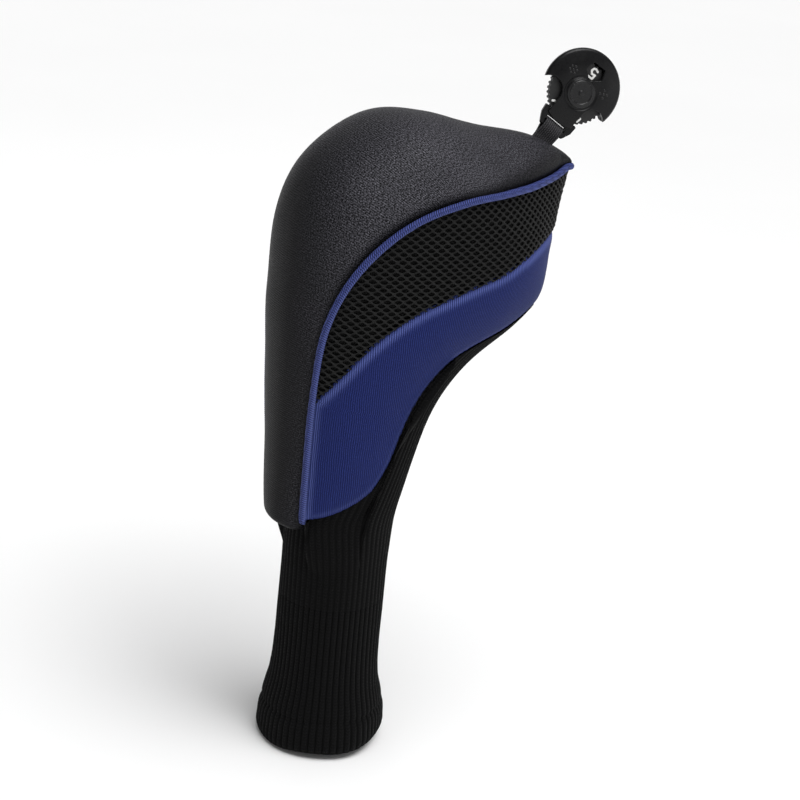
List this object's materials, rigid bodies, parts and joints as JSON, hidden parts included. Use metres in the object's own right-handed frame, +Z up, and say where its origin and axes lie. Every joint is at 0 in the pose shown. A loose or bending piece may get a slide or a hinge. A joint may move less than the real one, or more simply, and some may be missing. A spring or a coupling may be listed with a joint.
{
  "type": "golf club head cover",
  "caption": "Padded fabric cover for a golf club head, with piped seams, mesh sides, a long rib-knit neck sock and a number tag with a turning wheel on a webbing loop.",
  "frame": {"origin": "centre of the open hem at the foot of the knit neck sock", "axes": "+Z up the neck towards the head, +X towards the toe of the head, +Y to the left side; the cover is the same on both sides of Y = 0 apart from the number tag"},
  "size_m": [0.1646, 0.0924, 0.338],
  "materials": {
    "crown_jersey": "satin black fine-rib jersey",
    "side_mesh": "open sandwich mesh",
    "side_blue": "dull blue warp knit",
    "piping_blue": "knit covered piping",
    "padding": "soft foam padding",
    "lining_fleece": "brushed fleece",
    "rib_knit": "1x1 rib knit",
    "cord_core": "cotton cord",
    "webbing": "flat woven webbing",
    "thread": "polyester thread",
    "tag_plastic": "satin moulded",
    "rivet_plastic": "satin moulded",
    "wheel_plastic": "matt moulded",
    "numeral_white": "printed white"
  },
  "bodies": {
    "head": {"crown_panel": "crown_jersey", "crown_foam": "padding", "mesh_panel_left": "side_mesh", "mesh_panel_right": "side_mesh", "lower_side_panel_left": "side_blue", "lower_side_panel_right": "side_blue", "side_foam_left": "padding", "side_foam_right": "padding", "lining_left": "lining_fleece", "lining_right": "lining_fleece", "rib_knit_gusset": "rib_knit", "rib_knit_collar": "rib_knit", "piping_cover": "piping_blue", "piping_cord": "cord_core", "strap_tail": "webbing", "strap_stitches": "thread", "sock_upper_bend": "rib_knit"},
    "neck_middle": {"sock_middle": "rib_knit", "sock_lower_bend": "rib_knit"},
    "neck_lower": {"sock_lower": "rib_knit", "hem_fold": "rib_knit"},
    "strap": {"strap_webbing": "webbing"},
    "tag": {"tag_front_shell": "tag_plastic", "tag_back_shell": "tag_plastic", "hub_rivet": "rivet_plastic", "rivet_washer": "rivet_plastic"},
    "wheel": {"number_wheel": "wheel_plastic", "wheel_numerals": "numeral_white"}
  },
  "joints": [
    {"name": "neck_bend_fore_aft", "type": "hinge", "parent": "head", "child": "neck_middle", "pos_m": [0, 0, 0.092], "axis": [0, 1, 0], "range_deg": [-20, 20], "deforming": ["sock_upper_bend"]},
    {"name": "neck_bend_sideways", "type": "hinge", "parent": "neck_middle", "child": "neck_lower", "pos_m": [0, 0, 0.06], "axis": [1, 0, 0], "range_deg": [-20, 20], "deforming": ["sock_lower_bend"]},
    {"name": "strap_flex", "type": "hinge", "parent": "head", "child": "strap", "pos_m": [0.08693, 0, 0.29316], "axis": [0.7943, -0.2079, -0.5708], "range_deg": [-40, 40], "stiffness_Nm_per_rad": 0.05},
    {"name": "tag_swing", "type": "hinge", "parent": "strap", "child": "tag", "pos_m": [0.0923, 0, 0.30063], "axis": [0.7943, -0.2079, -0.5708], "range_deg": [-60, 60]},
    {"name": "wheel_spin", "type": "hinge", "parent": "tag", "child": "wheel", "pos_m": [0.1042, 0, 0.3172], "axis": [-0.1688, -0.9781, 0.1213], "continuous": true}
  ]
}
